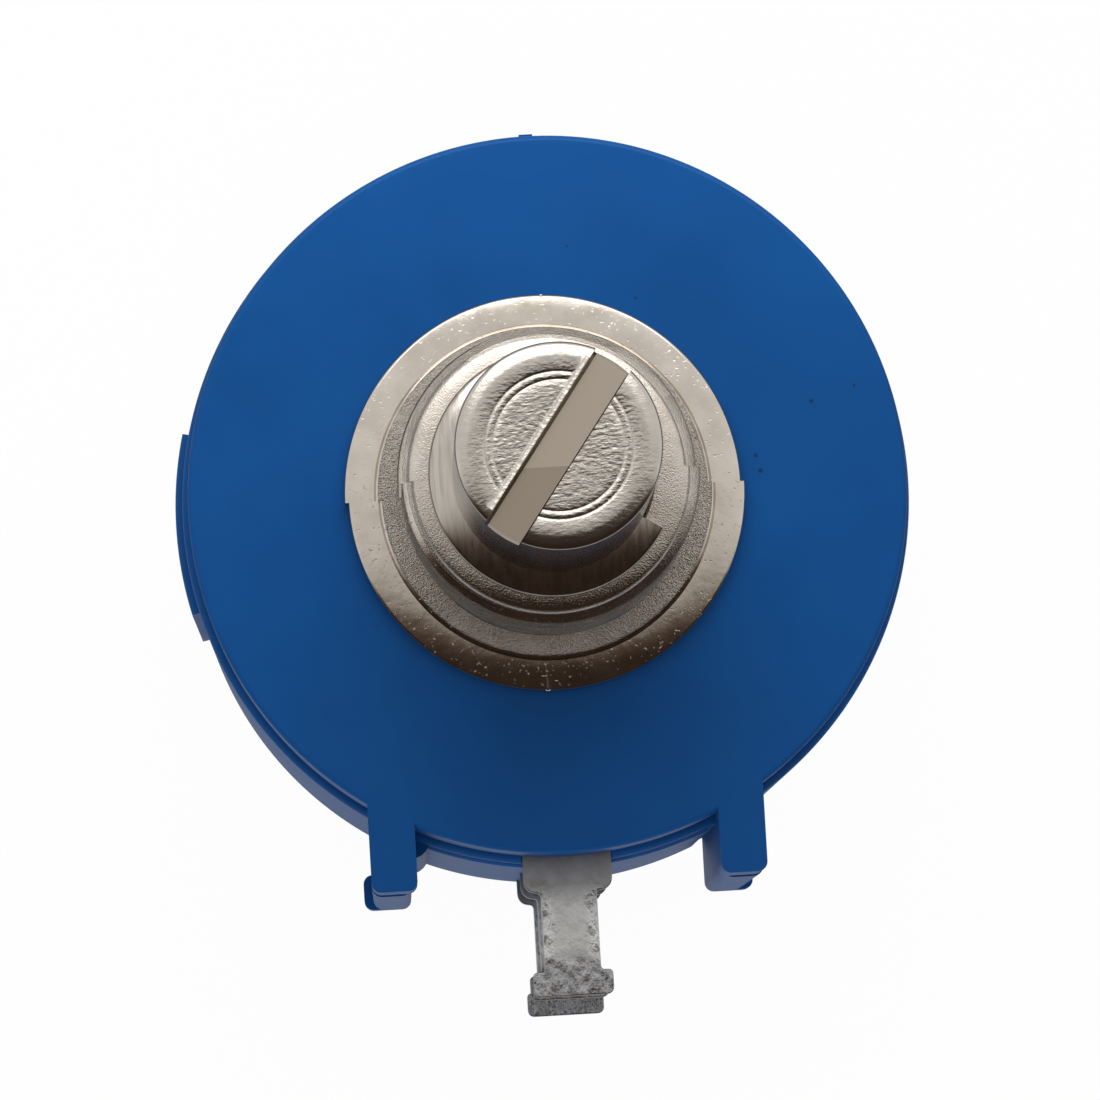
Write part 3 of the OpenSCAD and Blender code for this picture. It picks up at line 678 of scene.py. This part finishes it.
# %% Shaft
TIP = 19.0
SHAFT_R = 3.0
CLIP_GROOVE_R = 2.62
FLAT_HALF = 1.6
shaft = lathe("shaft_turned", [
    (0, -20.45), (1.1, -20.45), (1.2, -20.35), (1.2, -18.85), (2.0, -18.85), (2.0, -2.62),
    (SHAFT_R, -2.62), (SHAFT_R, 7.94), (2.97, 7.97), (CLIP_GROOVE_R, 7.97),
    (CLIP_GROOVE_R, 8.61), (2.97, 8.61), (SHAFT_R, 8.64), (SHAFT_R, TIP - 0.22),
    (2.985, TIP - 0.17), (2.94, TIP - 0.125),
    (2.86, TIP - 0.09), (2.72, TIP - 0.04), (2.64, TIP - 0.015), (2.58, TIP - 0.005),
    (2.22, TIP), (2.18, TIP - 0.01), (2.13, TIP - 0.04), (2.08, TIP - 0.01), (2.02, TIP),
    (1.95, TIP - 0.01), (1.90, TIP - 0.04), (1.84, TIP - 0.015), (1.7, TIP - 0.01),
    (0.3, TIP - 0.02), (0.0, TIP - 0.03)], 192)
flats = [block("flat", (-3, FLAT_HALF, -18.9), (3, 2.5, -2.62)),
         block("flat", (-3, -2.5, -18.9), (3, -FLAT_HALF, -2.62))]
combine(shaft, join(flats), "DIFFERENCE")

# %% A bar across the shaft's end
SLOT_ANGLE = 54.4


def cross_bar(name, section, half_length):
    bar = draw_outline(name, [(-half_length, y, z) for y, z in section])
    bpy.ops.mesh.edge_face_add()
    bpy.ops.mesh.extrude_region_move(
        TRANSFORM_OT_translate={"value": (2 * half_length * MM, 0, 0)})
    bpy.ops.mesh.select_all(action="SELECT")
    bpy.ops.transform.rotate(value=-radians(SLOT_ANGLE), orient_axis="Z",
                             center_override=(0, 0, 0))
    close_up()
    return bar


# %% Screwdriver slot with a burr along one lip
SLOT_FLOOR = TIP - 1.57
SLOT_HALF = 0.6
burr = cross_bar("burr", [(0.2, TIP - 0.3), (0.80, TIP - 0.3), (0.80, TIP - 0.03),
                          (0.70, TIP + 0.035), (0.62, TIP + 0.07), (0.2, TIP + 0.07)], 2.6)
combine(shaft, burr, "UNION")
slot_bar = cross_bar("slot_bar", [
    (-SLOT_HALF, TIP + 0.3), (-SLOT_HALF, SLOT_FLOOR + 0.08), (-0.53, SLOT_FLOOR),
    (0.53, SLOT_FLOOR), (SLOT_HALF, SLOT_FLOOR + 0.08), (SLOT_HALF, TIP + 0.3)], 4)
combine(shaft, slot_bar, "DIFFERENCE")
stand_for(shaft, "shaft", "spindle", shaft_steel)

# %% [markdown]
# ## Retaining clip
# An open ring of plated spring steel sits in the shaft's groove, just above the bushing. It is
# stamped, so its top edge is rolled over and its ends are cut straight. It wears a smooth bright
# plating with a few long scratches.

# %% Finish: clip
def clip_plating():
    finish, tree, shader = start_finish("clip_steel")
    place = where(tree)
    scratches = noise(tree, stretched(tree, place, (1, 0.06, 1), 25), 6000.0, 2.0)
    tree.links.new(blend_colours(tree, scratches, (0.46, 0.415, 0.365), (0.58, 0.53, 0.47),
                                 0.35, 0.6), shader.inputs["Base Color"])
    tree.links.new(between(tree, scratches, 0.12, 0.22), shader.inputs["Roughness"])
    bumps(tree, shader, scratches, 0.06, 0.00003)
    shader.inputs["Metallic"].default_value = 1
    return finish


# %% Clip
CLIP_SPAN = 293
CLIP_MIDDLE = 183.4
clip = lathe("clip_stamped", [(2.66, 7.99), (3.66, 7.99), (3.72, 8.05)]
             + arc(3.54, 8.20, 0.18, 0, 72, 5) + [(3.40, 8.44), (3.0, 8.56), (2.74, 8.59)]
             + arc(2.72, 8.51, 0.08, 90, 180, 3), 192, CLIP_MIDDLE, CLIP_SPAN)
stand_for(clip, "shaft_clip", "spindle", clip_plating())

# %% [markdown]
# ## Solder lugs
# Three lugs are stamped from tinned strip: a wide root, a narrow neck and a T-shaped head. They
# repeat, so one outline is pressed and the copies differ only in length and in how far they reach
# into the housing. Handling has left the tin crinkled at its rim and head. A band of painted
# sheen, a lighter colour across the neck, stands in for light there, so the root looks darker.

# %% Finish: tinned strip
# Middle of the neck, where the painted sheen is brightest.
NECK_MIDDLE = 13.3 * MM


def tinned_strip():
    finish, tree, shader = start_finish("tinned_metal")
    place = where(tree)
    dull = noise(tree, place, 1500.0, 5.0)
    split = add_node(tree, "ShaderNodeSeparateXYZ", Vector=place)
    # Painted sheen: a band of lighter colour across the neck that fades towards the root and the
    # head, so the root looks darker.
    from_neck = calculate(tree, "ABSOLUTE",
                          calculate(tree, "ADD", split.outputs["Y"], NECK_MIDDLE))
    painted_neck_sheen = between(tree, from_neck, 0.55, 0.0, 0.6 * MM, 1.3 * MM)
    # The colour mixes the random dull tone with the painted neck sheen.
    dull_tone_and_sheen = calculate(tree, "ADD", calculate(tree, "MULTIPLY", dull, 0.6), painted_neck_sheen)
    tree.links.new(blend_colours(tree, dull_tone_and_sheen, (0.26, 0.26, 0.265), (0.70, 0.695, 0.68), 0.15, 0.9),
                   shader.inputs["Base Color"])
    tree.links.new(between(tree, dull, 0.25, 0.45), shader.inputs["Roughness"])
    rim = between(tree, calculate(tree, "ABSOLUTE", split.outputs["X"]), 0.12, 1.0,
                  0.45 * MM, 0.7 * MM)
    head = between(tree, split.outputs["Y"], 1.0, 0.0, -14.5 * MM, -14.2 * MM)
    handled = calculate(tree, "MAXIMUM", rim, head)
    handled = calculate(tree, "MULTIPLY", handled,
                        between(tree, split.outputs["Y"], 1.0, 0.0, -12.3 * MM, -11.8 * MM))
    crinkles = noise(tree, stretched(tree, place, (1, 0.6, 1), 20), 3200.0, 5.0)
    crinkles = calculate(tree, "MULTIPLY", calculate(tree, "SUBTRACT", crinkles, 0.5), handled)
    bumps(tree, shader, crinkles, 1.0, 0.00013)
    bumps(tree, shader, noise(tree, place, 12000.0, 2.0), 0.2, 0.00002)
    shader.inputs["Metallic"].default_value = 1
    return finish


tinned = tinned_strip()


# %% One lug outline, three lugs
def lug_outline(inner, tip):
    waist = BODY_R + 0.85
    top = tip - 0.78
    right = ([(1.38, -inner)] + arc(1.03, 0.35 - waist, 0.35, 0, -90, 4)
             + arc(1.0, -waist - 0.12, 0.12, 90, 180, 3) + [(0.88, -top + 0.06), (0.94, -top)]
             + arc(1.11, -top - 0.14, 0.14, 90, 0, 4) + arc(1.05, 0.2 - tip, 0.2, 0, -90, 4))
    return right + [(-x, y) for x, y in reversed(right)]


LUG_HALF_T = 0.225
for name, node, z, inner, tip in (
        ("lug_front", "terminal_front", -4.245, 9.87, 15.45),
        ("lug_middle", "terminal_middle", -11.2, 9.87, 15.45),
        ("lug_rear", "terminal_wiper", -19.275, 6.9, 15.87)):
    lug = press(name, lug_outline(inner, tip), z - LUG_HALF_T, z + LUG_HALF_T)
    round_edges(lug, lambda x, y, z_here: y < -11.5 and abs(z_here - z) > 0.22, 0.05, 2)
    stand_for(lug, node, "case", tinned)

# %% [markdown]
# ## Inner pieces
# The pieces inside the housing keep their CAD meshes, because their shapes are plain, and get the
# finish of their real material. The element is resistance wire wound on an insulated core, so its
# stripes run across it, hundreds to a turn, and are driven by the angle round the shaft.

# %% Finish: wound element
WINDINGS_PER_TURN = 900


def wound_wire():
    finish, tree, shader = start_finish("resistance_wire")
    place = where(tree)
    angle = add_node(tree, "ShaderNodeTexGradient", {"gradient_type": "RADIAL"},
                     Vector=place).outputs["Fac"]
    windings = calculate(tree, "SINE",
                         calculate(tree, "MULTIPLY", angle, WINDINGS_PER_TURN * 2 * pi))
    tree.links.new(blend_colours(tree, windings, (0.16, 0.14, 0.12), (0.46, 0.44, 0.40), 0.1,
                                 0.6), shader.inputs["Base Color"])
    bumps(tree, shader, windings, 0.5, 0.00002)
    shader.inputs["Metallic"].default_value = 1
    shader.inputs["Roughness"].default_value = 0.35
    return finish


wear(nodes["resistance_helix"], wound_wire())

# %% Finish: spring bronze
def spring_bronze():
    finish, tree, shader = start_finish("contact_bronze")
    place = where(tree)
    tarnish = noise(tree, place, 1800.0, 4.0)
    tree.links.new(blend_colours(tree, tarnish, (0.62, 0.38, 0.16), (0.80, 0.56, 0.28)),
                   shader.inputs["Base Color"])
    tree.links.new(between(tree, tarnish, 0.18, 0.34), shader.inputs["Roughness"])
    bumps(tree, shader, noise(tree, stretched(tree, place, (1, 0.1, 1)), 9000.0), 0.1, 0.00002)
    shader.inputs["Metallic"].default_value = 1
    return finish


bronze = spring_bronze()
for name in ("collector_rail", "slip_ring", "wiper_contact", "wiper_spring", "rail_contact",
             "rear_brush"):
    wear(nodes[name], bronze)
for name in ("start_tap", "end_tap"):
    wear(nodes[name], tinned)


# %% Finish: plain moulded plastics
def moulded(name, dark, light, gloss):
    finish, tree, shader = start_finish(name)
    place = where(tree)
    clouds = noise(tree, place, 600.0, 4.0)
    tree.links.new(blend_colours(tree, clouds, dark, light), shader.inputs["Base Color"])
    tree.links.new(between(tree, clouds, gloss, gloss + 0.15), shader.inputs["Roughness"])
    bumps(tree, shader, noise(tree, place, 7000.0, 2.0), 0.15, 0.00002)
    return finish


for node, name, dark, light, gloss in (
        ("rotor", "black_plastic", (0.020, 0.020, 0.022), (0.036, 0.036, 0.038), 0.4),
        ("wiper_carriage", "pale_plastic", (0.68, 0.62, 0.47), (0.78, 0.73, 0.58), 0.35),
        ("thrust_washer", "washer_plastic", (0.74, 0.72, 0.66), (0.82, 0.80, 0.75), 0.5)):
    wear(nodes[node], moulded(name, dark, light, gloss))

# %% [markdown]
# ## Floor and light
# The part stands on a white sweep. The floor shows as white to the camera and in reflections, and
# still takes the part's shadow, and the room beyond it is white to the camera too. A large
# softbox stands behind the part, out of view. In mirrors the room around the camera is dark and
# warm: so polished faces that lean back are bright, and those that lean towards the viewer turn
# dark brown.

# %% Floor
FLOOR_GAP = 0.00002
GLOW_FADES = (0.03, 0.12)
bpy.ops.object.select_all(action="DESELECT")
bpy.ops.mesh.primitive_plane_add(size=2.0, location=(0, 0, cad_box[0][2] - FLOOR_GAP))
floor = bpy.context.object
floor.name = "floor"
finish, tree, shader = start_finish("white_sweep")
shader.inputs["Base Color"].default_value = (0.9, 0.9, 0.9, 1)
shader.inputs["Roughness"].default_value = 0.8
light_path = add_node(tree, "ShaderNodeLightPath")
away = add_node(tree, "ShaderNodeVectorMath", {"operation": "LENGTH"},
                Vector=where(tree)).outputs["Value"]
seen = calculate(tree, "MAXIMUM", light_path.outputs["Is Camera Ray"],
                 light_path.outputs["Is Glossy Ray"])
glow = add_node(tree, "ShaderNodeEmission")
tree.links.new(calculate(tree, "MAXIMUM", light_path.outputs["Is Camera Ray"],
                         between(tree, away, 0.55, 0.07, *GLOW_FADES)), glow.inputs["Strength"])
mix = add_node(tree, "ShaderNodeMixShader")
tree.links.new(calculate(tree, "MULTIPLY", seen, 0.97), mix.inputs["Fac"])
tree.links.new(shader.outputs["BSDF"], mix.inputs[1])
tree.links.new(glow.outputs["Emission"], mix.inputs[2])
tree.links.new(mix.outputs["Shader"], tree.nodes["Material Output"].inputs["Surface"])
wear(floor, finish)

# %% Room: bright behind the part, dark and warm round the camera
SIDE_SHARE = 0.38
FILL_LIGHT = (0.47, 0.47, 0.47)
ROOM_TONES = ((0.05, (0.035, 0.023, 0.016)), (0.26, (0.095, 0.062, 0.043)),
              (0.33, (0.25, 0.22, 0.195)), (0.48, (0.62, 0.61, 0.59)),
              (0.75, (0.84, 0.84, 0.84)))
world = bpy.data.worlds.new("studio")
bpy.context.scene.world = world
world.use_nodes = True
sky = world.node_tree
direction = add_node(sky, "ShaderNodeTexCoord").outputs["Generated"]
split = add_node(sky, "ShaderNodeSeparateXYZ", Vector=direction)
sideways = calculate(sky, "MULTIPLY", calculate(sky, "ABSOLUTE", split.outputs["X"]),
                     SIDE_SHARE)
backwards = calculate(sky, "ADD", split.outputs["Y"], sideways)
room = add_node(sky, "ShaderNodeValToRGB", Fac=between(sky, backwards, 0.0, 1.0, -0.2, 0.3))
stops = room.color_ramp.elements
stops[0].position, stops[1].position = ROOM_TONES[0][0], ROOM_TONES[-1][0]
for position, colour in ROOM_TONES[1:-1]:
    stops.new(position)
for stop, (position, colour) in zip(stops, ROOM_TONES):
    stop.color = (*colour, 1)
filled = mix_colours(sky, light_ray(sky, "Is Diffuse Ray"), room.outputs["Color"], FILL_LIGHT)
seen_white = mix_colours(sky, light_ray(sky, "Is Camera Ray"), filled, (1, 1, 1))
backdrop = sky.nodes["Background"]
sky.links.new(seen_white, backdrop.inputs["Color"])
backdrop.inputs["Strength"].default_value = 1.0


# %% Softboxes
def softbox(name, place, aim, size, power, mirrored=True):
    lamp = bpy.data.lights.new(name, "AREA")
    lamp.shape = "RECTANGLE"
    lamp.size, lamp.size_y = size
    lamp.energy = power
    stand = bpy.data.objects.new(name, lamp)
    bpy.context.scene.collection.objects.link(stand)
    stand.visible_camera = False
    stand.visible_glossy = mirrored
    stand.location = place
    stand.rotation_euler = (Vector(aim) - Vector(place)).to_track_quat("-Z", "Y").to_euler()


softbox("softbox_back", (0, 0.30, 0.30), (0, 0, 0), (0.5, 0.25), 0.8)
softbox("softbox_near", (0, 0.024, 0.017), (0, 0, 0), (0.03, 0.012), 0.0048, False)
softbox("softbox_fill", (-0.10, -0.35, 0.12), (0, 0, 0), (0.4, 0.2), 0.45, False)
bpy.context.scene.view_settings.view_transform = "Standard"
